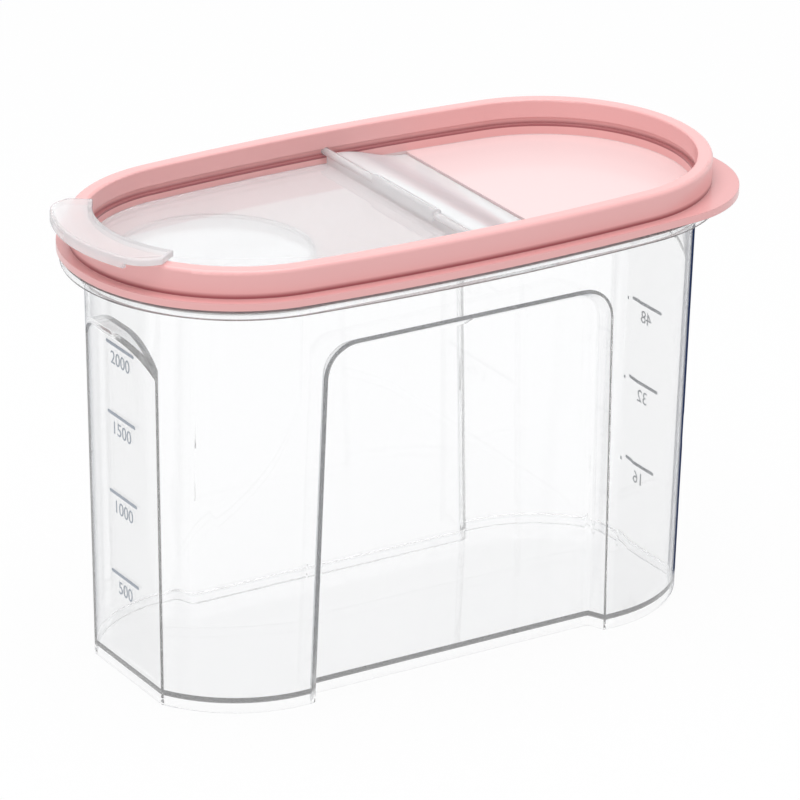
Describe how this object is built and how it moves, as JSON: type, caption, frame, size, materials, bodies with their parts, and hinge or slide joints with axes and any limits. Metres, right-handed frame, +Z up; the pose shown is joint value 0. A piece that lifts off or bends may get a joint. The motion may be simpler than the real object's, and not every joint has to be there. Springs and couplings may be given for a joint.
{
  "type": "food storage keeper",
  "caption": "Clear oval dry food keeper with a pink ring lid, a recessed hinged pour flap with a thumb tab, and side grips.",
  "frame": {"origin": "centre of the foot's underside, on the surface that the tub stands on", "axes": "+X along the length towards the squared lift edge of the lid, away from the pour flap; +Y across the width; +Z up"},
  "size_m": [0.2447, 0.1234, 0.1642],
  "materials": {
    "clear": "glossy clear plastic",
    "pink": "satin moulded plastic"
  },
  "bodies": {
    "tub": {"container": "clear"},
    "cover": {"lid": "pink", "hinge_panel": "clear"},
    "flap": {"pour_flap": "clear"}
  },
  "joints": [
    {"name": "lid_lift", "type": "slide", "parent": "tub", "child": "cover", "axis": [0, 0, 1], "range_m": [0, 0.06]},
    {"name": "flap_hinge", "type": "hinge", "parent": "cover", "child": "flap", "pos_m": [0.0042, 0, 0.1538], "axis": [0, 1, 0], "range_deg": [0, 110]}
  ]
}
